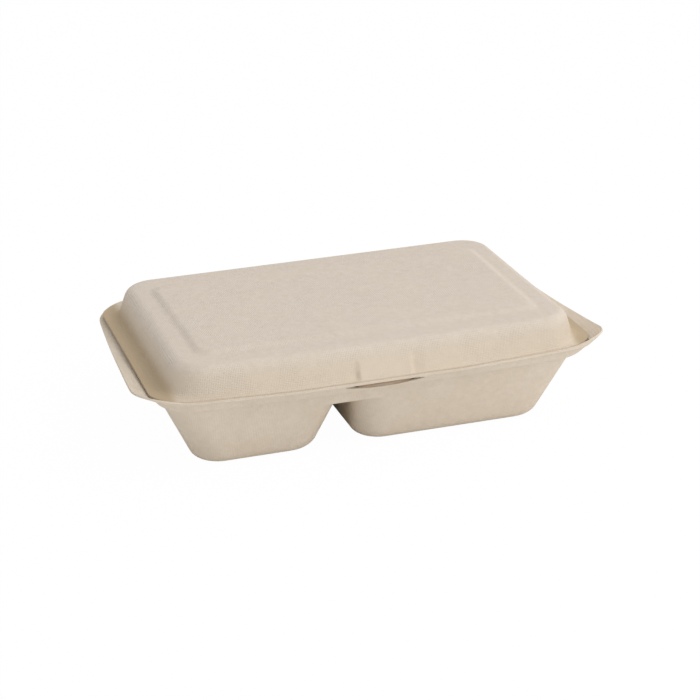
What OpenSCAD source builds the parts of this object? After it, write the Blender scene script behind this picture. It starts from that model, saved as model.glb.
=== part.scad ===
// Two-compartment hinged food box of moulded plant fibre, shown closed.
// One thin sheet forms the base with its two wells, the fold along the back and the lid.
// X runs along the box, Y points back to the fold, Z is up, and the box stands on Z = 0.

/* [Overall size] */
// Length over the flat flanges, without the flared end lips
box_l = 231.2; // [190:0.1:280]
// Depth from the front rim to the fold
box_d = 164; // [150:0.5:200]
// Height of the base, from the floor to the top of its flange
base_h = 43; // [38:0.5:60]
// Height of the lid, from the underside of its flange to the border of its top
lid_h = 17.5; // [15:0.1:30]
// Thickness of the moulded sheet
sheet_t = 0.9; // [0.7:0.05:1.2]
// Gap between the closed lid and the base's flange
seat_gap = 0.3; // [0.2:0.05:0.5]

/* [Base rim] */
// Width of the rim at the ends, from the tub's wall to the flange's edge
end_rim_w = 8.3; // [7.5:0.1:11]
// Width of the rim at the front, from the tub's wall to the rim's edge
front_rim_w = 9.6; // [9:0.1:12]
// Width of the rim at the back, from the tub's wall to the fold
fold_rim_w = 22.6; // [18:0.1:30]
// How far the front rim falls back towards its two ends
rim_bow = 9; // [5:0.1:10]
// How far the front rim's edge rises above the flange, outside the lid's flange
rim_rise = 1.2; // [1:0.1:1.6]
// Corner radius of the rim at the front
rim_front_r = 16; // [14:0.5:20]
// Corner radius of the rim at the fold
rim_back_r = 28; // [24:0.5:34]
// How far the end lips stand out past the flat flange at the front
lip_w = 8.3; // [5:0.1:9]
// How far the end lips rise above the flange at the front
lip_rise = 4.3; // [2:0.1:5.5]
// How far the end lips dip below the flange in their back half
lip_dip = 0.6; // [0.2:0.1:0.8]
// Height of the step under the flange, down to the ledge
step_h = 5.4; // [4.8:0.1:6]
// How far the step leans in on its way down, at the front and back
step_lean = 3; // [2.6:0.1:3.4]

/* [Wells] */
// Middle of the gap between the wells, from the middle of the box
gap_x = -19; // [-30:0.5:30]
// Width of the gap between the wells at the floor
gap_w = 21; // [20.5:0.5:30]
// Height of the gap, from the floor to its ceiling
gap_h = 30; // [26:0.5:31]
// Angle of the outer walls of the wells from upright
wall_flare = 24; // [18:0.5:27]
// Angle of the gap's left wall from upright
gap_left_flare = 22; // [12:0.5:23]
// Angle of the gap's right wall from upright
gap_right_flare = 8; // [4:0.5:10]
// Radius where the gap's walls turn into its ceiling
gap_r = 1.6; // [1:0.1:1.8]
// Radius where the floor turns into the walls
floor_r = 8; // [5:0.5:10]
// Radius of the wells' upright corners at the floor
well_corner_r = 14; // [12:0.5:18]
// How much the upright corner radius grows up to the ledge
well_corner_grow = 4; // [1:0.5:6]

/* [Lid] */
// Width of the lid's flange at the ends
lid_end_flange_w = 6.7; // [5:0.1:8]
// Width of the lid's flange at the front
lid_front_flange_w = 1; // [0.9:0.1:2]
// Width of the lid's flange at the back, up to the fold
lid_fold_flange_w = 13.5; // [10:0.1:18]
// How far the lid's walls lean in at the ends
lid_end_lean = 6.4; // [4:0.1:8]
// How far the lid's walls lean in at the front and back
lid_side_lean = 3.6; // [3:0.1:6]
// Radius of the lid's top edge
lid_edge_r = 7; // [4:0.5:8]
// Upright corner radius of the lid's top
lid_top_r = 15; // [12:0.5:20]
// Upright corner radius of the lid's wall at its foot
lid_foot_r = 20; // [16:0.5:24]
// Radius of the hollow where the lid's wall meets its flange at the ends
lid_foot_hollow = 4.5; // [1:0.1:5.5]
// Width of the border beside the raised panel at the ends
border_end_w = 12; // [10:0.1:20]
// Width of the border before the raised panel
border_front_w = 15.8; // [10:0.1:22]
// Width of the border behind the raised panel
border_back_w = 17.8; // [10:0.1:24]
// Height of the raised panel
panel_h = 1.4; // [0.6:0.1:2]
// Run of the slope around the raised panel
panel_slope = 3; // [1.5:0.1:3.5]
// Corner radius of the raised panel
panel_r = 5; // [4:0.5:8]

/* [Latch] */
// Width of the thumb boss on the lid's front wall
boss_w = 28; // [20:0.5:36]
// How far the boss would stand out at its foot, where the edge of the lid's flange cuts it short
boss_out = 1.8; // [0.8:0.1:2.4]
// Run of the boss's sloping sides
boss_side = 3.2; // [2:0.1:4]
// Height of the boss above the lid's flange
boss_h = 10; // [8:0.1:12]
// Length of the slit in the base's front step
slit_l = 41; // [36:0.5:48]
// Clearance around the tongue where it crosses the slit
slit_clear = 0.3; // [0.2:0.05:0.4]
// Width of the lid's tongue, which hangs in the slit
tongue_w = 28; // [20:0.5:32]
// Thickness of the tongue
tongue_t = 0.8; // [0.6:0.05:1]

/* [Hidden] */

fibre_base = [0.80, 0.74, 0.65];
fibre_lid = [0.84, 0.79, 0.71];

// Steps on each rounded corner, along each half of a long edge and around each rounded edge
corner_steps = 6;
edge_steps = 4;
round_steps = 4;
hollow_steps = 3;

front_y = -box_d / 2;
fold_y = box_d / 2;

// The tub's wall where it meets the ledge
tub_x = box_l / 2 - end_rim_w;
tub_front = front_y + front_rim_w;
tub_back = fold_y - fold_rim_w;
ledge_z = base_h - sheet_t - step_h;
wall_in = sheet_t / cos(wall_flare);

// The ledge and the step above it, from the wall outwards
ledge_rise = 0.4;
ledge_w_end = 2.4;
ledge_w_side = 3.6;
step_foot = 0.8;
step_run_end = 3.2;
step_corner_less = 2.5;
step_z = ledge_z + ledge_rise + step_foot;
step_top_z = base_h - sheet_t;
step_slant = atan(step_lean / (step_top_z - step_z));
step_in = sheet_t / cos(step_slant);

// How far each outline falls back at its front corners, outside its straight middle
straight_half = 40;
step_bow = 4;
step_top_bow = rim_bow - 2.5;
flat_bow = rim_bow - 1.4;
foot_bow = flat_bow - 0.4;
roof_bow = 1.5;

// The flat flange, and the rim's edge outside it: upturned at the front and drawn out into lips at the ends
rim_edge = 0.3;
rim_foot = 1.4;
rim_foot_under = 0.8;
rim_top = 0.7;
lip_top = 0.2;
flat_front_r = rim_front_r - 2;
flat_back_r = rim_back_r - 2;
lip_from_x = box_l / 2 - 18;
lip_full_x = box_l / 2 + 2;
lip_full_y = front_y + 20;
lip_back_y = fold_y - 20;

// The lid's flange, its wall and the line where its wall and its flat border would meet
lid_inset = 0.6;
lid_x = box_l / 2 - lid_inset;
lid_front = front_y + rim_foot + 0.15;
lid_z = base_h + seat_gap;
foot_z = lid_z + sheet_t;
roof_z = lid_z + lid_h;
foot_x = lid_x - lid_end_flange_w;
foot_front = lid_front + lid_front_flange_w;
foot_back = fold_y - lid_fold_flange_w;
roof_x = foot_x - lid_end_lean;
roof_front = foot_front + lid_side_lean;
roof_back = foot_back - lid_side_lean;
end_lean = atan(lid_end_lean / (roof_z - foot_z));
side_lean = atan(lid_side_lean / (roof_z - foot_z));
side_hollow = min(lid_foot_hollow, lid_front_flange_w - 0.1);

// The boss's upright edges, on the face and where its sides meet the wall
boss_in = (boss_w - boss_side) / 2;
boss_end = (boss_w + boss_side) / 2;
boss_margin = 0.15;

// The slit, and the tongue that hangs behind its upper edge
slit_top = step_top_z - 0.5;
slit_mid = step_top_z - 1.6;
slit_foot = step_z + 0.4;
tip_gap = 0.6;
step_face_y = tub_front - ledge_w_side - step_foot - step_lean;
tongue_y = step_face_y + step_in + (step_top_z - slit_upper(tongue_w / 2)) * tan(step_slant) + slit_clear;

function lerp(a, b, k) = a + (b - a) * k;
function clamp01(v) = max(0, min(1, v));
function ease(v) = let (c = clamp01(v)) c * c * (3 - 2 * c);
function slit_upper(x) = lerp(slit_top, slit_mid, pow(abs(x) / (slit_l / 2), 3));
function slit_lower(x) = lerp(slit_foot, slit_mid, pow(abs(x) / (slit_l / 2), 2));

// A quarter turn of radius r around [cx, cy] that starts at angle a0
function corner(cx, cy, r, a0) = [
    for (i = [0:corner_steps]) let (a = a0 + 90 * i / corner_steps) [cx + r * cos(a), cy + r * sin(a)]
];

// Points between x0 and x1 on a line of constant y, without its ends
function along(x0, x1, y, n) = [for (i = [1:n - 1]) [lerp(x0, x1, i / n), y]];

// Moves the front half of an outline back towards its ends, and gives every point its height
function raised(points, hx, yf, yb, bow, z) = let (mid = (yf + yb) / 2) [
    for (p = points) let (x = max(abs(p[0]), straight_half)) [
        p[0],
        p[1] + bow * clamp01((mid - p[1]) / (mid - yf)) * (x * x - pow(straight_half, 2)) / (hx * hx - pow(straight_half, 2)),
        z
    ]
];

// The part of a tub's outline to the right of x: from the front edge round to the back edge
function right_part(x, hx, yf, yb, rf, rb) = concat(
    [[x, yf]], along(x, hx - rf, yf, edge_steps),
    corner(hx - rf, yf + rf, rf, 270), corner(hx - rb, yb - rb, rb, 0),
    along(hx - rb, x, yb, edge_steps), [[x, yb]]
);

// The part to the left of x: from the back edge round to the front edge
function left_part(x, hx, yf, yb, rf, rb) = [
    for (p = right_part(-x, hx, -yb, -yf, rb, rf)) [-p[0], -p[1]]
];

// A well's wall beside the gap, from the front to the back, with rounded corners. The well lies on the
// side of x that side gives.
function gap_wall(x, side, yf, yb, r) = concat(
    [for (i = [0:corner_steps]) let (a = 90 * i / corner_steps) [x + side * r * (1 - sin(a)), yf + r * (1 - cos(a))]],
    [for (i = [0:corner_steps]) let (a = 90 * i / corner_steps) [x + side * r * (1 - cos(a)), yb - r * (1 - sin(a))]]
);

function backwards(list) = [for (i = [len(list) - 1:-1:0]) list[i]];
function inner_points(list) = [for (i = [1:len(list) - 2]) list[i]];

// How far a leaning wall stands out at distance d from a level face, with the edge between them
// rounded by r. The wall's own line passes through 0 at that face.
function rounded_lean(d, lean, r) = let (c = 1 - clamp01(d / r))
    d < r * (1 - sin(lean)) ? r * sqrt(1 - c * c) - r * tan((90 - lean) / 2) : d * tan(lean);

// Upright corner radius of the tub and its wells at height z
function upright_r(z) = well_corner_r + well_corner_grow * z / ledge_z;

// How far the gap's wall on one side lies from the gap's middle at height z, measured to the outside of
// the sheet or, where t is its thickness, to its inside
function gap_flare(side) = side > 0 ? gap_right_flare : gap_left_flare;
function gap_reach(z, side, t) = let (k = clamp01((z - gap_h + gap_r) / (gap_r + t)), flare = gap_flare(side))
    gap_w / 2 - rounded_lean(z - t, flare, floor_r - t) - t * tan(flare) + t / cos(flare)
    - (gap_r + t) * (1 - sqrt(1 - k * k));

// How far the outer wall stands out from its place on the floor at height z
function well_stand(z, t) = rounded_lean(z - t, wall_flare, floor_r - t) + t * tan(wall_flare) - t / cos(wall_flare);

// Half the outline of a tub or of one well at height z: its size, its radius and where it starts
function well_size(z, t) = let (s = well_stand(z, t) - ledge_z * tan(wall_flare))
    [tub_x + s, tub_front - s, tub_back + s, upright_r(z) - max(0, z * tan(wall_flare) - well_stand(z, t))];

// One ring of a well at height z, for its outside or, set in by the sheet, for its inside
function well_ring(z, side, t) = let (
    size = well_size(z, t), r = size[3],
    x = gap_x + side * gap_reach(z, side, t), end = x + side * r,
    beside = inner_points(gap_wall(x, side, size[1], size[2], r))
) [
    for (p = side > 0
        ? concat(right_part(end, size[0], size[1], size[2], r, r), backwards(beside))
        : concat(left_part(end, size[0], size[1], size[2], r, r), beside))
    [p[0], p[1], z]
];

// The heights of a well's rings, from the ceiling of the gap down to the floor
function well_levels(t) = concat(
    [for (a = [0, 30, 60, 90]) gap_h - gap_r + (gap_r + t) * cos(a)],
    [for (i = [round_steps:-1:0]) t + (floor_r - t) * (1 - cos(i * (90 - gap_right_flare) / round_steps))]
);
function well_rings(side, t) = [for (z = well_levels(t)) well_ring(z, side, t)];

// Where the tub's outlines are split, above the corners beside the gap
split_right = gap_x + gap_reach(gap_h, 1, 0) + upright_r(gap_h);
split_left = gap_x - gap_reach(gap_h, -1, 0) - upright_r(gap_h);

// A tub's whole outline
function tub_ring(hx, yf, yb, rf, rb, bow, z) = raised(
    concat(right_part(split_right, hx, yf, yb, rf, rb), left_part(split_left, hx, yf, yb, rf, rb)),
    hx, yf, yb, bow, z
);

// A tub's outline around the step, at distances end_d and side_d outside the wall's top. Its front corners
// grow tighter from the ledge, where k is 0, up to the rim, where k is 1.
function step_ring(end_d, side_d, bow, z, k = 0) = tub_ring(
    tub_x + end_d, tub_front - side_d, tub_back + side_d,
    lerp(upright_r(ledge_z), rim_front_r - step_corner_less, k), upright_r(ledge_z), bow, z
);

// The base's outermost edge at height z over the flange: raised at the front, level at the fold, and drawn
// out into a lip at each end, which dips and then rises towards the front
function edge_ring(z, front_in, end_in) = let (hx = box_l / 2 + lip_w) [
    for (p = tub_ring(hx, front_y + front_in, fold_y, rim_front_r, rim_back_r, rim_bow, z))
    let (
        k = clamp01((lip_back_y - p[1]) / (lip_back_y - lip_full_y)),
        x = p[0] * (box_l / 2 + 0.1 + (lip_w - 0.1 - end_in) * k) / hx,
        lip_z = lip_rise * pow(k, 3) - lip_dip * sin(180 * min(1, k / 0.75)),
        rim_z = p[1] < 0 ? rim_rise : 0
    ) [x, p[1], z + lerp(rim_z, lip_z, ease((abs(x) - lip_from_x) / (lip_full_x - lip_from_x)))]
];
function flat_ring(z, front_in) = tub_ring(
    box_l / 2, front_y + front_in, fold_y - rim_edge, flat_front_r, flat_back_r, flat_bow, z
);

// The base's rings down the outside and up the inside, above its wells
step_top_end = ledge_w_end + step_foot + step_run_end;
step_top_side = ledge_w_side + step_foot + step_lean;
inner_up = step_top_z - step_z + sheet_t;
outer_rings = [
    edge_ring(base_h, rim_top, lip_top), edge_ring(base_h - 0.8 * sheet_t, 0, 0), flat_ring(base_h - sheet_t, rim_foot_under),
    step_ring(step_top_end, step_top_side, step_top_bow, step_top_z, 1),
    step_ring(ledge_w_end + step_foot, ledge_w_side + step_foot, step_bow, step_z),
    step_ring(ledge_w_end, ledge_w_side, step_bow, step_z - step_foot),
    step_ring(0, 0, 0, ledge_z)
];
inner_rings = [
    step_ring(0.9 * sheet_t * tan(wall_flare) - wall_in, 0.9 * sheet_t * tan(wall_flare) - wall_in, 0, ledge_z + 0.9 * sheet_t),
    step_ring(ledge_w_end - 0.45 * sheet_t, ledge_w_side - 0.45 * sheet_t, step_bow, step_z - step_foot + 0.95 * sheet_t),
    step_ring(
        ledge_w_end + step_foot - step_in + 0.6 * sheet_t * step_run_end / (step_top_z - step_z),
        ledge_w_side + step_foot - step_in + 0.6 * sheet_t * tan(step_slant), step_bow, step_z + 0.6 * sheet_t,
        0.6 * sheet_t / (step_top_z - step_z)
    ),
    step_ring(
        ledge_w_end + step_foot - step_in + inner_up * step_run_end / (step_top_z - step_z),
        ledge_w_side + step_foot - step_in + inner_up * tan(step_slant), step_top_bow, base_h, 1
    ),
    flat_ring(base_h, rim_foot)
];

// Triangles between neighbouring points a of one ring and b of the next. They look outwards where the
// rings run counterclockwise seen from above and lead down.
function strip(a, b) = [for (i = [0:len(a) - 2]) each [[a[i], b[i + 1], b[i]], [a[i], a[i + 1], b[i + 1]]]];
function counted(from, n) = [for (i = [0:n - 1]) from + i];
function closed(list) = concat(list, [list[0]]);
function middle(ring) = [for (k = [0:2]) let (v = [for (p = ring) p[k]]) (min(v) + max(v)) / 2];
function turned(faces) = [for (f = faces) [f[0], f[2], f[1]]];

// Triangles between each ring and the next, for rings of n points whose first point is number from
function ring_strips(from, rings, n) = [
    for (k = [0:rings - 2]) each strip(closed(counted(from + k * n, n)), closed(counted(from + (k + 1) * n, n)))
];

// Triangles from a ring to the point in its middle
function cap(from, n, centre) = [for (i = [0:n - 1]) [from + i, from + (i + 1) % n, centre]];

module base() {
    color(fibre_base) difference() {
        base_sheet();
        slit_cut();
    }
}

module lid() {
    color(fibre_lid) {
        lid_sheet();
        tongue();
    }
}

// The moulded sheet from its rim through the step into two wells, as one closed skin
module base_sheet() {
    right_out = well_rings(1, 0);
    left_out = well_rings(-1, 0);
    right_in = well_rings(1, sheet_t);
    left_in = well_rings(-1, sheet_t);
    n = len(outer_rings[0]);
    half = n / 2;
    m = len(right_out[0]);
    levels = len(right_out);

    // Where each group of points starts
    right_0 = len(outer_rings) * n;
    left_0 = right_0 + levels * m + 1;
    right_1 = left_0 + levels * m + 1;
    left_1 = right_1 + levels * m + 1;
    inner_0 = left_1 + levels * m + 1;
    last_outer = (len(outer_rings) - 1) * n;

    points = concat(
        [for (r = outer_rings) each r],
        [for (g = [right_out, left_out, right_in, left_in]) each concat([for (r = g) each r], [middle(g[levels - 1])])],
        [for (r = inner_rings) each r]
    );

    // The tub's wall line over both wells, and the walls beside the gap from the front to the back
    out_line = closed(concat(counted(right_0, half), counted(left_0, half)));
    in_line = closed(concat(counted(right_1, half), counted(left_1, half)));
    right_gap = concat([0], [for (i = [m - 1:-1:half - 1]) i]);
    left_gap = concat(counted(half - 1, m - half + 1), [0]);

    polyhedron(points = points, faces = concat(
        ring_strips(0, len(outer_rings), n),
        strip(closed(counted(last_outer, n)), out_line),
        ring_strips(right_0, levels, m), cap(right_0 + (levels - 1) * m, m, left_0 - 1),
        ring_strips(left_0, levels, m), cap(left_0 + (levels - 1) * m, m, right_1 - 1),
        strip([for (i = right_gap) right_0 + i], [for (i = left_gap) left_0 + i]),
        turned(concat(
            ring_strips(right_1, levels, m), cap(right_1 + (levels - 1) * m, m, left_1 - 1),
            ring_strips(left_1, levels, m), cap(left_1 + (levels - 1) * m, m, inner_0 - 1),
            strip([for (i = right_gap) right_1 + i], [for (i = left_gap) left_1 + i])
        )),
        strip(in_line, closed(counted(inner_0, n))),
        ring_strips(inner_0, len(inner_rings), n),
        strip(closed(counted(inner_0 + (len(inner_rings) - 1) * n, n)), closed(counted(0, n)))
    ));
}

// The slit in the step at the front, higher in its middle than at its ends
module slit_cut() {
    xs = [for (i = [-5:5]) i / 5.2 * slit_l / 2];
    translate([0, front_y + 12, 0])
        rotate([90, 0, 0])
            linear_extrude(height = 12)
                polygon(concat(
                    [[-slit_l / 2, slit_mid]], [for (x = xs) [x, slit_lower(x)]],
                    [[slit_l / 2, slit_mid]], [for (x = backwards(xs)) [x, slit_upper(x)]]
                ));
}

// How far the lid's wall stands out at height z, from the line of its foot. For the inside of the sheet,
// t is its thickness.
function lid_stand(z, t, lean, hollow) =
    t * tan(lean) - t / cos(lean) - rounded_lean(z - foot_z + t, lean, hollow + t)
    + rounded_lean(roof_z - t - z, lean, lid_edge_r - t) - (roof_z - t - z) * tan(lean);

// A whole outline of the lid, from its thumb boss round to the boss again
function lid_ring(hx, yf, yb, rf, rb, bow, z, push, limit) = raised(concat(
    [[boss_in, max(yf - push, min(yf, limit))], [boss_end, yf]], along(boss_end, hx - rf, yf, edge_steps),
    corner(hx - rf, yf + rf, rf, 270), corner(hx - rb, yb - rb, rb, 0),
    along(hx - rb, rb - hx, yb, 2 * edge_steps),
    corner(rb - hx, yb - rb, rb, 90), corner(rf - hx, yf + rf, rf, 180),
    along(rf - hx, -boss_end, yf, edge_steps),
    [[-boss_end, yf], [-boss_in, max(yf - push, min(yf, limit))], [0, max(yf - push, min(yf, limit))]]
), hx, yf, yb, bow, z);

function lid_wall_ring(z, t) = let (
    k = (roof_z - z) / (roof_z - foot_z),
    end = lid_stand(z, t, end_lean, lid_foot_hollow),
    side = lid_stand(z, t, side_lean, side_hollow),
    r = lerp(lid_top_r, lid_foot_r, k) + end + (z - foot_z) * tan(end_lean)
) lid_ring(
    foot_x + end, foot_front - side, foot_back + side, r, r, lerp(roof_bow, foot_bow, k), z,
    boss_out * clamp01(1 - (z - foot_z) / boss_h), lid_front + boss_margin + t
);

function panel_ring(inset, z) = lid_ring(
    roof_x - border_end_w - inset, roof_front + border_front_w + inset, roof_back - border_back_w - inset,
    panel_r, panel_r, 0, z, 0, 0
);
function flange_ring(z) = lid_ring(lid_x, lid_front, fold_y, flat_front_r, flat_back_r + 2, flat_bow, z, 0, 0);

// Heights of the rings on the rounded top edge, from the border down, and on the foot, down to the flange
function roof_levels(t) = [
    for (i = [0:round_steps]) roof_z - t - (lid_edge_r - t) * (1 - cos(i * (90 - side_lean) / round_steps))
];
function foot_levels(t) = [
    for (i = [hollow_steps:-1:0]) foot_z - t + (lid_foot_hollow + t) * (1 - cos(i * (90 - end_lean) / hollow_steps))
];

module lid_sheet() {
    down = concat(
        [panel_ring(panel_slope, roof_z + panel_h), panel_ring(0, roof_z)],
        [for (z = concat(roof_levels(0), [foot_z + boss_h], foot_levels(0))) lid_wall_ring(z, 0)],
        [flange_ring(foot_z)]
    );
    up = concat(
        [flange_ring(lid_z)],
        [for (z = backwards(concat(roof_levels(sheet_t), [foot_z + boss_h], foot_levels(sheet_t)))) lid_wall_ring(z, sheet_t)],
        [panel_ring(0, roof_z - sheet_t), panel_ring(panel_slope, roof_z + panel_h - sheet_t)]
    );
    rings = concat(down, up);
    n = len(rings[0]);
    total = len(rings) * n;
    polyhedron(
        points = concat([for (r = rings) each r], [middle(rings[0]), middle(rings[len(rings) - 1])]),
        faces = concat(
            turned(cap(0, n, total)), ring_strips(0, len(rings), n), cap(total - n, n, total + 1)
        )
    );
}

// The tongue hangs from a web inside the boss, and shows in the slit of the closed box
module tongue() {
    half = tongue_w / 2;
    web_z = lid_z + 0.05;
    web_front = lid_front + 0.3;
    translate([-half, web_front, web_z])
        cube([tongue_w, tongue_y + tongue_t - web_front, sheet_t - 0.1]);
    translate([0, tongue_y + tongue_t, 0])
        rotate([90, 0, 0])
            linear_extrude(height = tongue_t)
                polygon(concat(
                    [for (i = [-4:4]) [half * i / 4, slit_lower(half * i / 4) + tip_gap]],
                    [[half, web_z + sheet_t / 2], [-half, web_z + sheet_t / 2]]
                ));
}

base();
lid();
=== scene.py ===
import math

import bpy
from mathutils import Matrix, Vector


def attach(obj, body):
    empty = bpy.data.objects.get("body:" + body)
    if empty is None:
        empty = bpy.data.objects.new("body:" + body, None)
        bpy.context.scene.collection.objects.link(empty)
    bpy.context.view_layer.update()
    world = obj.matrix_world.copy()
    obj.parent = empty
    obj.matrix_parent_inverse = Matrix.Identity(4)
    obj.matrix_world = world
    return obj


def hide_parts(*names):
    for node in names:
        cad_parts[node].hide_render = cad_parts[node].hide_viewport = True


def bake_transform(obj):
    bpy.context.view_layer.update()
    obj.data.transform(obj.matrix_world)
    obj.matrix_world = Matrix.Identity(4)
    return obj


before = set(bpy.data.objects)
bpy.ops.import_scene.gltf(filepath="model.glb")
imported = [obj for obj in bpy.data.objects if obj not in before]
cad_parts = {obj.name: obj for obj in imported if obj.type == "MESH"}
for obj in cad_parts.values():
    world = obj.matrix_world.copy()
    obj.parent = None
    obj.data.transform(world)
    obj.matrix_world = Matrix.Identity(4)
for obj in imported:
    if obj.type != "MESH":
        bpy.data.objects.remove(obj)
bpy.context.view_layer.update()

MM = 0.001

# Sizes of the box in millimetres, fitted to the photograph and close to those of the CAD part
SHEET = 0.9
HALF_L, FRONT, FOLD = 115.6, -82.0, 82.0
BASE_H = 43.0
TUB_X, TUB_FRONT, TUB_BACK = 107.3, -72.4, 59.4
LEDGE_Z, STEP_Z, RIM_Z = 36.7, 37.9, 42.1
FLARE, LEFT_FLARE, RIGHT_FLARE = (math.radians(a) for a in (24, 22, 8))
FLOOR_R, GAP_R, GAP_H = 8.0, 2.4, 29.2
GAP_X, GAP_HALF = -19.0, 10.5
SLIT_END, SLIT_MID, SLIT_TOP, SLIT_FOOT = 20.5, 40.5, 41.6, 38.3

LID_X, LID_FRONT, LID_Z = 115.0, -80.85, 43.3
FOOT_Z, ROOF_Z = 44.2, 60.5
PANEL_H, PANEL_SLOPE = 1.5, 3.2
BOSS_HALF, BOSS_H, BOSS_OUT, BOSS_GROOVE = 14.0, 10.0, 1.35, 1.5
TONGUE_W, TONGUE_T, TONGUE_FRONT, TONGUE_BACK = 28.0, 0.8, -77.2, -76.4
STRIP_W, STRIP_T, STRIP_R = 176.0, 0.62, 0.6
WIRE_PITCH = 0.85

# The front corners are not quite alike: the left one is rounder
RIM_R = (21.0, 14.0)
STEP_TOP_R = (17.0, 11.0)
STEP_FOOT_R = (18.0, 15.0)


def lerp(a, b, k):
    return a + (b - a) * k


def clamp(v, low=0.0, high=1.0):
    return max(low, min(high, v))


def ease(v):
    v = clamp(v)
    return v * v * (3 - 2 * v)


def ends(value):
    """The values for the left and the right end, where one number may stand for both."""
    return value if isinstance(value, tuple) else (value, value)


def spaced(a, b, n):
    """n steps from a to b, without b."""
    return [lerp(a, b, i / n) for i in range(n)]


def quarter(cx, cy, r, start, n=14):
    return [(cx + r * math.cos(start + math.pi / 2 * i / n), cy + r * math.sin(start + math.pi / 2 * i / n))
            for i in range(n + 1)]


def bowed(points, half, yf, yb, bow, z):
    """Moves the front half of an outline back towards its ends."""
    mid = (yf + yb) / 2
    out = []
    for x, y in points:
        hx = ends(half)[x > 0]
        reach = (max(abs(x), 40) ** 2 - 1600) / (hx * hx - 1600)
        out.append(Vector((x, y + bow * clamp((mid - y) / (mid - yf)) * reach, z)))
    return out


def round_right(x, hx, yf, yb, rf, rb, marks):
    """From x on the front edge round the right end to x on the back edge; marks are steps on the front."""
    stops = [x] + marks + [hx - rf]
    counts = (12, 3, 14) if marks else (29,)
    front = [p for a, b, n in zip(stops, stops[1:], counts) for p in spaced(a, b, n)]
    side = [(hx, y) for y in spaced(yf + rf, yb - rb, 12)[1:]]
    return ([(p, yf) for p in front] + quarter(hx - rf, yf + rf, rf, -math.pi / 2) + side
            + quarter(hx - rb, yb - rb, rb, 0) + [(p, yb) for p in spaced(hx - rb, x, 20)[1:]] + [(x, yb)])


def round_left(x, hx, yf, yb, rf, rb, marks):
    part = round_right(-x, hx, yf, yb, rf, rb, marks)
    return [(-px, py) for px, py in reversed(part)]


def rounded(chain, lengths, steps=5, tight=True):
    """Rounds each corner of the lines that run from ring to ring, over the length given for that ring."""
    out = [chain[0]]
    for k in range(1, len(chain) - 1):
        if not lengths[k]:
            out.append(chain[k])
            continue
        for s in range(steps + 1):
            t = s / steps
            ring = []
            for before, here, after in zip(chain[k - 1], chain[k], chain[k + 1]):
                a, b = before - here, after - here
                share_a, share_b = (0.48 if lengths[k + i] or tight else 0.85 for i in (-1, 1))
                la = min(lengths[k], share_a * a.length) / max(a.length, 1e-6)
                lb = min(lengths[k], share_b * b.length) / max(b.length, 1e-6)
                p, q = here + a * la, here + b * lb
                ring.append(p * (1 - t) ** 2 + here * 2 * t * (1 - t) + q * t * t)
            out.append(ring)
    out.append(chain[-1])
    return out


def deselect():
    if bpy.context.mode != "OBJECT":
        bpy.ops.object.mode_set(mode="OBJECT")
    bpy.ops.object.select_all(action="DESELECT")


def drawn_wall(name, rings, close_last=True, close_first=False):
    """Extrudes a circle of points from ring to ring and moves each new ring to its place."""
    deselect()
    bpy.ops.mesh.primitive_circle_add(vertices=len(rings[0]), radius=1, fill_type="NOTHING")
    piece = bpy.context.object
    piece.name = piece.data.name = name
    for v, p in zip(piece.data.vertices, rings[0]):
        v.co = p * MM
    bpy.ops.object.mode_set(mode="EDIT")
    bpy.ops.mesh.select_mode(type="VERT")
    bpy.ops.mesh.select_all(action="SELECT")
    if close_first:
        bpy.ops.mesh.edge_face_add()
        bpy.ops.object.mode_set(mode="OBJECT")
        for face in piece.data.polygons:
            face.select = False
        for e in piece.data.edges:
            e.select = True
        bpy.ops.object.mode_set(mode="EDIT")
        bpy.ops.mesh.select_mode(type="EDGE")
    for ring in rings[1:]:
        bpy.ops.mesh.extrude_edges_move()
        bpy.ops.object.mode_set(mode="OBJECT")
        fresh = piece.data.vertices[-len(ring):]
        for v, p in zip(fresh, ring):
            v.co = p * MM
        bpy.ops.object.mode_set(mode="EDIT")
    if close_last:
        bpy.ops.mesh.edge_face_add()
    bpy.ops.mesh.select_all(action="SELECT")
    bpy.ops.mesh.normals_make_consistent(inside=False)
    bpy.ops.object.mode_set(mode="OBJECT")
    return piece


def finish_modifier(piece, kind, **settings):
    deselect()
    piece.select_set(True)
    bpy.context.view_layer.objects.active = piece
    mod = piece.modifiers.new(kind.title(), kind)
    for key, value in settings.items():
        setattr(mod, key, value)
    bpy.ops.object.modifier_apply(modifier=mod.name)


def stand(d, lean, r):
    """How far a leaning wall stands out at distance d from a level face, with a rounded edge between."""
    c = 1 - clamp(d / r)
    if d < r * (1 - math.sin(lean)):
        return r * math.sqrt(1 - c * c) - r * math.tan((math.pi / 2 - lean) / 2)
    return d * math.tan(lean)


def upright_r(z):
    return 14 + 4 * z / LEDGE_Z


def gap_side(z, side):
    lean = RIGHT_FLARE if side > 0 else LEFT_FLARE
    k = clamp((z - GAP_H + GAP_R) / GAP_R)
    reach = GAP_HALF - stand(z, lean, FLOOR_R) - GAP_R * (1 - math.sqrt(1 - k * k))
    return GAP_X + side * reach


SPLIT_R = gap_side(GAP_H, 1) + upright_r(GAP_H)
SPLIT_L = gap_side(GAP_H, -1) - upright_r(GAP_H)
MARKS = [SLIT_END, 24.0]


def tub_ring(half, yf, yb, rf, rb, bow, z):
    """The outline of the whole tub. half and rf may be pairs, for the left and the right end."""
    (left_x, right_x), (left_r, right_r) = ends(half), ends(rf)
    right = round_right(SPLIT_R, right_x, yf, yb, right_r, rb, MARKS)
    left = round_left(SPLIT_L, left_x, yf, yb, left_r, rb, [])
    back = [(x, yb) for x in spaced(SPLIT_R, SPLIT_L, 10)[1:]]
    front = [(x, yf) for x in spaced(SPLIT_L, -SLIT_END, 8)[1:] + spaced(-SLIT_END, SPLIT_R, 16)]
    return bowed(right + back + left + front, half, yf, yb, bow, z)


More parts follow.
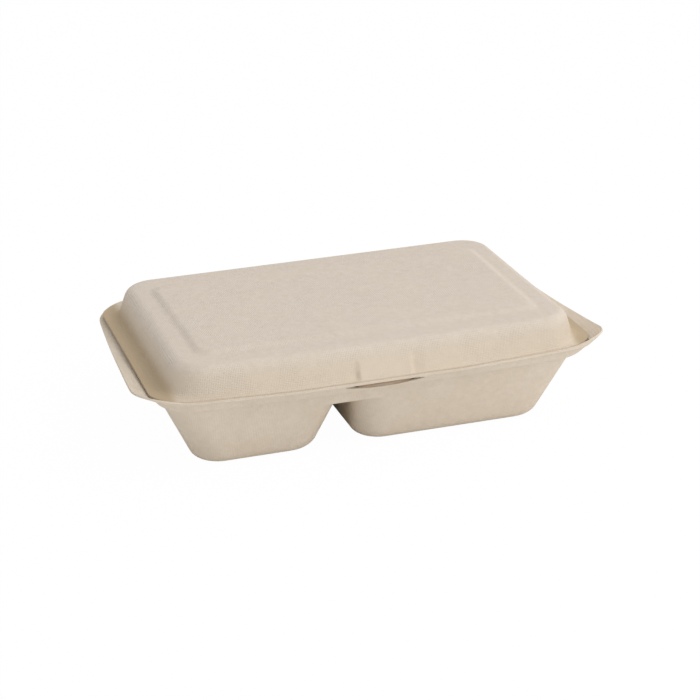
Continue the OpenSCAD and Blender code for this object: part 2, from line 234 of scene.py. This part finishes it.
def step_ring(end_d, side_d, bow, z, rf=upright_r(LEDGE_Z)):
    half = tuple(TUB_X + d for d in ends(end_d))
    return tub_ring(half, TUB_FRONT - side_d, TUB_BACK + side_d, rf, upright_r(LEDGE_Z), bow, z)


def step_top():
    return step_ring((6.4, 7.6), 7.4, 6.5, RIM_Z, STEP_TOP_R)


def step_foot():
    return step_ring((3.2, 4.2), 4.4, 4.0, STEP_Z, STEP_FOOT_R)


def lip(y, right_end):
    """How far the lip stands out and up at y."""
    if right_end:
        k = clamp((62 - y) / 124)
        return 0.1 + 7.2 * k ** 0.8, 4.2 * k ** 3 - 0.6 * math.sin(math.pi * min(1, k / 0.75))
    k = clamp((72 - y) / 122)
    return 0.1 + 7.3 * k ** 0.85, 3.2 * k ** 3 - 0.9 * math.sin(math.pi * min(1, k / 0.75))


def edge_ring():
    """The rim's edge: turned up along the front and drawn out into a lip at each end."""
    half = (HALF_L + 7.4, HALF_L + 7.3)
    out = []
    for p in tub_ring(half, FRONT, FOLD, RIM_R, 28, 9.0, RIM_Z):
        wide, rise = lip(p.y, p.x > 0)
        x = p.x * (HALF_L + wide) / half[p.x > 0]
        rim_z = 1.4 if p.y < 0 else 0.0
        out.append(Vector((x, p.y, p.z + lerp(rim_z, rise, ease((abs(x) - 97.6) / 20)))))
    return out


def band_ring(upper):
    """A ring on the sloping step; it opens round the slit in the middle of the front."""
    out = []
    for a, b in zip(step_top(), step_foot()):
        z = SLIT_MID + (0.1 if upper else -0.1)
        if abs(a.x) < SLIT_END and a.y < 0:
            s = abs(a.x) / SLIT_END
            z = lerp(SLIT_TOP, z, s ** 3) if upper else lerp(SLIT_FOOT, z, s ** 2)
        out.append(b.lerp(a, (z - STEP_Z) / (RIM_Z - STEP_Z)))
    return out


def well_ring(z, side):
    s = stand(z, FLARE, FLOOR_R) - LEDGE_Z * math.tan(FLARE)
    hx, yf, yb = TUB_X + s, TUB_FRONT - s, TUB_BACK + s
    r = upright_r(z) - max(0, z * math.tan(FLARE) - stand(z, FLARE, FLOOR_R))
    x = gap_side(z, side)
    start = x + side * r
    beside = [(x + side * r * (1 - math.sin(a)), yf + r * (1 - math.cos(a)))
              for a in (math.pi / 2 * i / 14 for i in range(1, 15))]
    beside += [(x, y) for y in spaced(yf + r, yb - r, 12)[1:]]
    beside += [(x + side * r * (1 - math.cos(a)), yb - r * (1 - math.sin(a)))
               for a in (math.pi / 2 * i / 14 for i in range(0, 14))]
    if side > 0:
        ring = round_right(start, hx, yf, yb, r, r, MARKS) + beside[::-1]
    else:
        ring = round_left(start, hx, yf, yb, r, r, []) + beside
    return [Vector((p[0], p[1], z)) for p in ring]


def well_levels():
    near_top = [GAP_H - GAP_R + GAP_R * math.cos(math.radians(a)) for a in (0, 22.5, 45, 67.5, 90)]
    near_floor = [FLOOR_R * (1 - math.cos(math.radians(a))) for a in (82, 72, 62, 52, 42, 32, 22, 12, 4, 0)]
    return near_top + [24, 19, 14] + near_floor


def make_base():
    flat_half, flat_r = (HALF_L - 1.0, HALF_L - 0.3), tuple(r - 2 for r in RIM_R)
    chain = [edge_ring(), tub_ring(flat_half, FRONT + 0.25, FOLD - 3, flat_r, 26, 7.6, RIM_Z),
             step_top(), band_ring(True), band_ring(False), step_foot(),
             step_ring((2.4, 3.2), 3.6, 4.0, STEP_Z - 0.8, STEP_FOOT_R), step_ring(0, 0, 0, LEDGE_Z)]
    s = (GAP_H - LEDGE_Z) * math.tan(FLARE)
    r = upright_r(GAP_H)
    chain.append(tub_ring(TUB_X + s, TUB_FRONT - s, TUB_BACK + s, r, r, 0, GAP_H))
    tub = drawn_wall("base_shell", rounded(chain, [0, 2.4, 0.8, 0, 0, 0.9, 0.9, 1.6, 0]), close_last=False)
    wells = [drawn_wall("well", [well_ring(z, side) for z in well_levels()]) for side in (1, -1)]

    # the ceiling of the gap is one face between the two wells
    deselect()
    for piece in wells + [tub]:
        piece.select_set(True)
    bpy.context.view_layer.objects.active = tub
    bpy.ops.object.join()
    bpy.ops.object.mode_set(mode="EDIT")
    bpy.ops.mesh.select_all(action="SELECT")
    bpy.ops.mesh.remove_doubles(threshold=2e-5)
    bpy.ops.mesh.select_all(action="DESELECT")
    bpy.ops.mesh.select_mode(type="EDGE")
    bpy.ops.mesh.select_non_manifold(extend=False, use_wire=False, use_boundary=True, use_multi_face=False,
                                     use_non_contiguous=False, use_verts=False)
    bpy.ops.object.mode_set(mode="OBJECT")
    verts = tub.data.vertices
    for e in tub.data.edges:
        if e.select and verts[e.vertices[0]].co.z > (GAP_H + 1) * MM:
            e.select = False
    bpy.ops.object.mode_set(mode="EDIT")
    bpy.ops.mesh.edge_face_add()
    # its corners are thin horns, so it is cut into triangles before the sheet gets its thickness
    bpy.ops.mesh.quads_convert_to_tris(ngon_method="BEAUTY")
    bpy.ops.mesh.select_all(action="SELECT")
    bpy.ops.mesh.normals_make_consistent(inside=False)

    # the slit is open between its two rings
    bpy.ops.mesh.select_all(action="DESELECT")
    bpy.ops.mesh.select_mode(type="FACE")
    bpy.ops.object.mode_set(mode="OBJECT")
    for face in tub.data.polygons:
        c = face.center / MM
        if c.y < -74 and abs(c.x) < SLIT_END - 0.1 and STEP_Z < c.z < RIM_Z:
            s = abs(c.x) / SLIT_END
            high = lerp(SLIT_TOP, SLIT_MID + 0.1, s ** 3)
            low = lerp(SLIT_FOOT, SLIT_MID - 0.1, s ** 2)
            if low < c.z < high:
                face.select = True
    bpy.ops.object.mode_set(mode="EDIT")
    bpy.ops.mesh.delete(type="FACE")
    bpy.ops.object.mode_set(mode="OBJECT")
    finish_modifier(tub, "SOLIDIFY", thickness=SHEET * MM, offset=-1, use_even_offset=True)
    return tub


def lid_ring(hx, yf, yb, rf, rb, bow, z, boss=0.0, out=BOSS_OUT, groove=BOSS_GROOVE):
    """boss is how far down the boss the ring lies, from 0 at its top to 1 at its foot."""
    front = spaced(0, 10, 5) + spaced(10, 22, 20)
    right = [(x, yf) for x in front + spaced(22, hx - rf, 18)]
    right += quarter(hx - rf, yf + rf, rf, -math.pi / 2)
    right += [(hx, y) for y in spaced(yf + rf, yb - rb, 14)[1:]]
    right += quarter(hx - rb, yb - rb, rb, 0) + [(x, yb) for x in spaced(hx - rb, 0, 20)[1:]]
    ring = right + [(0, yb)] + [(-x, y) for x, y in reversed(right[1:])]
    ring = bowed(ring, hx, yf, yb, bow, z)
    if boss > 0:
        for p in ring:
            beside = abs(p.x) - BOSS_HALF
            if p.y < 0 and beside < 8:
                p.y -= boss * (lerp(out, -groove, clamp((beside + 1) / 2)) if beside < 1
                               else -groove * (1 - ease((beside - 1) / 6)))
    return ring


def wall_ring(z):
    """The lid's wall, as if it met its border and its flange in sharp corners."""
    k = (ROOF_Z - z) / (ROOF_Z - FOOT_Z)
    r = lerp(15, 20, k)
    boss = clamp(1 - (z - FOOT_Z) / BOSS_H)
    return lid_ring(lerp(101.9, 108.3, k), lerp(-75.85, -79.45, k), lerp(64.9, 68.5, k), r, r,
                    lerp(1.5, 7.2, k), z, boss)


def panel_ring(inset, z, r=7.0):
    """An outline of the raised panel, which is a little wider at the back."""
    ring = lid_ring(89.9 - inset, -60.05 + inset, 47.1 - inset, r, r, 0, z)
    for p in ring:
        p.x *= 1 + 0.018 * clamp((p.y + 60) / 107)
    return ring


def flange_edge():
    """The edge of the lid's flange, which curls up a little at the two ends."""
    ring = lid_ring(LID_X, LID_FRONT, FOLD, 15, 28, 7.6, FOOT_Z, 1.0, out=0.08, groove=0)
    for p in ring:
        curl = lerp(0.8, 1.7, ease((p.y + 60) / 60)) if p.x < 0 else 0.5
        p.z += curl * ease((abs(p.x) - 104) / 10) * ease((72 - p.y) / 20)
    return ring


def make_lid():
    top_z = ROOF_Z + PANEL_H
    chain = [panel_ring(PANEL_SLOPE + 6, top_z), panel_ring(PANEL_SLOPE, top_z), panel_ring(0, ROOF_Z),
             wall_ring(ROOF_Z), wall_ring(FOOT_Z + BOSS_H), wall_ring(FOOT_Z), flange_edge()]
    lid = drawn_wall("lid_shell", rounded(chain, [0, 1.6, 1.6, 5.4, 0, 5.4, 0], 7, False), close_last=False,
                     close_first=True)
    finish_modifier(lid, "SOLIDIFY", thickness=SHEET * MM, offset=-1, use_even_offset=True)
    return lid


def make_tongue():
    """A flat web under the boss and the tongue that hangs from it into the slit."""
    deselect()
    bpy.ops.mesh.primitive_grid_add(x_subdivisions=28, y_subdivisions=6, size=1)
    piece = bpy.context.object
    piece.name = piece.data.name = "lid_tongue"
    for v in piece.data.vertices:
        x, k = v.co.x * TONGUE_W, v.co.y + 0.5
        s = abs(x) / SLIT_END
        tip = lerp(SLIT_FOOT, SLIT_MID, s * s) + 0.6
        path = [Vector((x, LID_FRONT + 0.6, LID_Z + 0.85)), Vector((x, TONGUE_BACK - 0.4, LID_Z + 0.85)),
                Vector((x, TONGUE_FRONT + 0.4, LID_Z - 0.2)), Vector((x, TONGUE_FRONT + 0.4, tip))]
        f = k * 3
        i = min(int(f), 2)
        v.co = path[i].lerp(path[i + 1], f - i) * MM
    finish_modifier(piece, "SOLIDIFY", thickness=TONGUE_T * MM, offset=0)
    finish_modifier(piece, "BEVEL", width=0.2 * MM, segments=2)
    return piece


def make_fold():
    """The bent strip of sheet that joins the two halves along the back."""
    deselect()
    bpy.ops.mesh.primitive_grid_add(x_subdivisions=60, y_subdivisions=14, size=1)
    piece = bpy.context.object
    piece.name = piece.data.name = "fold_strip"
    for v in piece.data.vertices:
        x, k = v.co.x * STRIP_W, v.co.y + 0.5
        a = math.pi * (clamp((k - 0.2) / 0.6) - 0.5)
        y = FOLD - 0.05 + STRIP_R * math.cos(a)
        z = BASE_H + 0.15 + STRIP_R * math.sin(a)
        y -= 3 * max(0, 0.2 - k, k - 0.8) / 0.2 * 0.5
        v.co = Vector((x, y, z)) * MM
    finish_modifier(piece, "SOLIDIFY", thickness=STRIP_T * MM, offset=0)
    return piece


class Value:
    """A socket of a node, on which shader maths is written as plain expressions."""

    def __init__(self, tree, socket):
        self.tree, self.socket = tree, socket

    def step(self, kind, *others):
        node = self.tree.nodes.new("ShaderNodeMath")
        node.operation = kind
        for slot, value in zip(node.inputs, (self,) + others):
            if isinstance(value, Value):
                self.tree.links.new(value.socket, slot)
            else:
                slot.default_value = value
        return Value(self.tree, node.outputs[0])

    def __add__(self, other):
        return self.step("ADD", other)

    def __sub__(self, other):
        return self.step("SUBTRACT", other)

    def __mul__(self, other):
        return self.step("MULTIPLY", other)

    def __rsub__(self, other):
        return self * -1.0 + other

    __radd__, __rmul__ = __add__, __mul__

    def band(self, start, end):
        """0 at start and 1 at end, eased between the two."""
        node = self.tree.nodes.new("ShaderNodeMapRange")
        node.interpolation_type = "SMOOTHSTEP"
        node.inputs["From Min"].default_value, node.inputs["From Max"].default_value = start, end
        self.tree.links.new(self.socket, node.inputs["Value"])
        return Value(self.tree, node.outputs[0])


class Finish:
    """A material under construction."""

    def __init__(self, name):
        self.mat = bpy.data.materials.new(name)
        self.mat.use_nodes = True
        self.tree = self.mat.node_tree
        self.tree.nodes.clear()

    def add(self, kind, settings=None, inputs=None, output=0):
        node = self.tree.nodes.new(kind)
        for key, value in (settings or {}).items():
            setattr(node, key, value)
        for key, value in (inputs or {}).items():
            if isinstance(value, Value):
                self.tree.links.new(value.socket, node.inputs[key])
            else:
                node.inputs[key].default_value = value
        return Value(self.tree, node.outputs[output])

    def split(self, vector):
        x = self.add("ShaderNodeSeparateXYZ", None, {"Vector": vector})
        return [Value(self.tree, socket) for socket in x.socket.node.outputs]

    def noise(self, vector, scale, detail, rough=0.6, distortion=0.0):
        return self.add("ShaderNodeTexNoise", None, {"Vector": vector, "Scale": scale, "Detail": detail,
                                                     "Roughness": rough, "Distortion": distortion})

    def blend(self, amount, a, b):
        return self.add("ShaderNodeMix", {"data_type": "RGBA"}, {0: amount, 6: a, 7: b}, output=2)

    def done(self, shader):
        out = self.tree.nodes.new("ShaderNodeOutputMaterial")
        self.tree.links.new(shader.socket, out.inputs["Surface"])
        return self.mat


def fibre(name, light, dark, shade_tints, wire):
    """Moulded plant fibre: faint clouds, short strands and the print of the mould's wire mesh.

    Each pair in the painted-shade list is a mask and a colour, for the places drawn darker and browner where
    shade falls, and wire is the strength of the print.
    """
    f = Finish(name)
    where = f.add("ShaderNodeTexCoord", output=3)
    x, y, z = f.split(where)
    cloud = f.noise(where, 55.0, 5.0, 0.62)
    patch = f.noise(where, 280.0, 3.0)
    speck = f.noise(where, 1700.0, 2.0, 0.7)
    strand = 1.0 - ((f.noise(where, 620.0, 2.0, 0.6, 1.6) - 0.5) * 9.0).step("ABSOLUTE").step("MINIMUM", 1.0)

    # the wires cross at right angles on each face: on the ends and on the top one set runs along y
    across, along, down = ((axis * (2 * math.pi / (WIRE_PITCH * MM))).step("SINE") for axis in (x, y, z))
    on_end = x.step("ABSOLUTE").band(0.102, 0.106)
    on_top = z.band(0.0585, 0.0605)
    wires = across + (along - across) * on_end + down + (along - down) * on_top
    print_depth = cloud.band(0.35, 0.6) * 0.7 + 0.3

    mesh = wires * print_depth * wire
    tone = (cloud - 0.5) * 1.1 + (patch - 0.5) * 1.0 + (speck - 0.5) * 0.8 + strand * 0.12 + mesh * 0.2 + 0.5
    colour = f.blend(tone.step("MAXIMUM", 0.0).step("MINIMUM", 1.0), dark, light)
    # painted shade: each mask blends in a darker, browner colour where shade falls
    for mask, tint in shade_tints:
        colour = f.blend(mask(x, y, z), colour, tint)
    height = mesh * 0.24 + speck * 0.35 + patch * 0.35 + strand * 0.12
    bump = f.add("ShaderNodeBump", None, {"Height": height, "Distance": 0.00028, "Strength": 0.8})
    return f.done(f.add("ShaderNodeBsdfPrincipled", None,
                        {"Base Color": colour, "Roughness": 0.85, "Normal": bump,
                         "Specular IOR Level": 0.25}))


def painted_valley_shade(x, y, z):
    """Painted shade in the hollow at the foot of the lid's end walls."""
    return x.step("ABSOLUTE").band(0.1020, 0.1075) * (1.0 - z.band(0.0455, 0.056)) * 0.65


def painted_wall_shade(x, y, z):
    """Painted shade: the lid's walls below the rounded edge of its roof, drawn a little darker and yellower
    than the top.
    """
    return (1.0 - z.band(0.052, 0.0605)) * 0.6


def painted_tongue_shade(x, y, z):
    """Painted shade on the tongue, just under the web that it hangs from."""
    return z.band(0.0382, 0.0408) * (1.0 - z.band(0.0430, 0.0433)) * 0.9


def painted_gap_shade(x, y, z):
    """Painted shade: the inside of the gap between the wells, drawn dark brown where it lies in shadow."""
    off = (x - GAP_X * MM).step("ABSOLUTE")
    return (1.0 - off.band(0.006, 0.012)) * y.band(-0.062, -0.050) * (1.0 - z.band(0.030, 0.032)) * 0.5


def linear(r, g, b):
    return tuple(((c / 255 + 0.055) / 1.055) ** 2.4 for c in (r, g, b)) + (1.0,)


base = make_base()
lid = make_lid()
tongue = make_tongue()
fold = make_fold()

# painted shade: the base's dark brown colour in the gap between the wells stands in for its shadow
fibre_base = fibre("fibre_base", linear(222, 209, 193), linear(206, 192, 172),
                   ((painted_gap_shade, linear(150, 124, 86)),), 0.5)
# painted shade: the lid's walls, the hollow at the foot of its ends and the tongue under its web are drawn
# darker and browner where shade falls
fibre_lid = fibre("fibre_lid", linear(218, 207, 194), linear(203, 190, 175),
                  ((painted_wall_shade, linear(212, 196, 174)), (painted_valley_shade, linear(170, 147, 110)),
                   (painted_tongue_shade, linear(150, 112, 70))), 1.0)
for piece, body, node, mat, slot in ((base, "base_half", "base", fibre_base, "fibre_base"),
                                     (lid, "lid_half", "lid", fibre_lid, "fibre_lid"),
                                     (tongue, "lid_half", None, fibre_lid, "fibre_lid"),
                                     (fold, None, None, fibre_base, "fibre_base")):
    piece.data.materials.clear()
    piece.data.materials.append(mat)
    deselect()
    piece.select_set(True)
    bpy.context.view_layer.objects.active = piece
    bpy.ops.object.shade_smooth_by_angle(angle=math.radians(50))
    if body:
        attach(piece, body)
    if node:
        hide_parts(node)
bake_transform(fold)

# camera, solved from the photograph
AZ, EL, ROLL = (math.radians(a) for a in (16.6025, 21.2611, -1.87634))
FOCAL, OFFSET = 2045.386, Vector((-2.56709, 29.5260, 1086.971))
ahead = Vector((math.sin(AZ) * math.cos(EL), math.cos(AZ) * math.cos(EL), -math.sin(EL)))
right = ahead.cross(Vector((0, 0, 1))).normalized()
up = right.cross(ahead)
side = math.cos(ROLL) * right + math.sin(ROLL) * up
top = -math.sin(ROLL) * right + math.cos(ROLL) * up
turn = Matrix((side, -top, ahead))
place = -(turn.transposed() @ OFFSET) - Vector((0, 6.5, 0))
bpy.ops.object.camera_add()
camera = bpy.context.object
camera.matrix_world = Matrix.Translation(place * MM) @ Matrix((side, top, -ahead)).transposed().to_4x4()
camera.data.sensor_width = 36
camera.data.lens = FOCAL / 700 * 36
camera.data.clip_start, camera.data.clip_end = 0.05, 50
bpy.context.scene.camera = camera

# floor, white to the camera apart from a trace of shadow
bpy.ops.mesh.primitive_plane_add(size=12, location=(0, 0, -0.0002))
floor = bpy.context.object
floor.name = "floor"
ground = Finish("floor_white")
seen = ground.add("ShaderNodeLightPath", output=0)
plain = ground.add("ShaderNodeBsdfDiffuse", None, {"Color": (0.95, 0.95, 0.95, 1)})
white = ground.add("ShaderNodeEmission", None, {"Color": (1, 1, 1, 1), "Strength": 1.0})
mixed = ground.add("ShaderNodeMixShader", None, {0: seen * 0.98, 1: plain, 2: white})
floor.data.materials.append(ground.done(mixed))

# the studio: white all round, and darker on the left
world = bpy.data.worlds.new("studio")
bpy.context.scene.world = world
world.use_nodes = True
tree = world.node_tree
tree.nodes.clear()
way = Value(tree, tree.nodes.new("ShaderNodeTexCoord").outputs["Generated"])
apart = tree.nodes.new("ShaderNodeSeparateXYZ")
tree.links.new(way.socket, apart.inputs[0])
soft, back = tree.nodes.new("ShaderNodeBackground"), tree.nodes.new("ShaderNodeBackground")
level = Value(tree, apart.outputs[0]) * 0.4 + 0.86
tree.links.new(level.socket, soft.inputs["Strength"])
mix = tree.nodes.new("ShaderNodeMixShader")
tree.links.new(tree.nodes.new("ShaderNodeLightPath").outputs["Is Camera Ray"], mix.inputs[0])
tree.links.new(soft.outputs[0], mix.inputs[1])
tree.links.new(back.outputs[0], mix.inputs[2])
tree.links.new(mix.outputs[0], tree.nodes.new("ShaderNodeOutputWorld").inputs[0])
for sky in (soft, back):
    sky.inputs["Color"].default_value = (1, 1, 1, 1)


def lamp(name, place, aim, size, power):
    bpy.ops.object.light_add(type="AREA", location=place)
    obj = bpy.context.object
    obj.name = name
    obj.data.size = size
    obj.data.energy = power
    obj.rotation_euler = (Vector(aim) - Vector(place)).to_track_quat("-Z", "Y").to_euler()


lamp("key", (0.55, -0.75, 0.98), (0, 0, 0.03), 0.7, 4.4)

bpy.context.scene.view_settings.view_transform = "Standard"
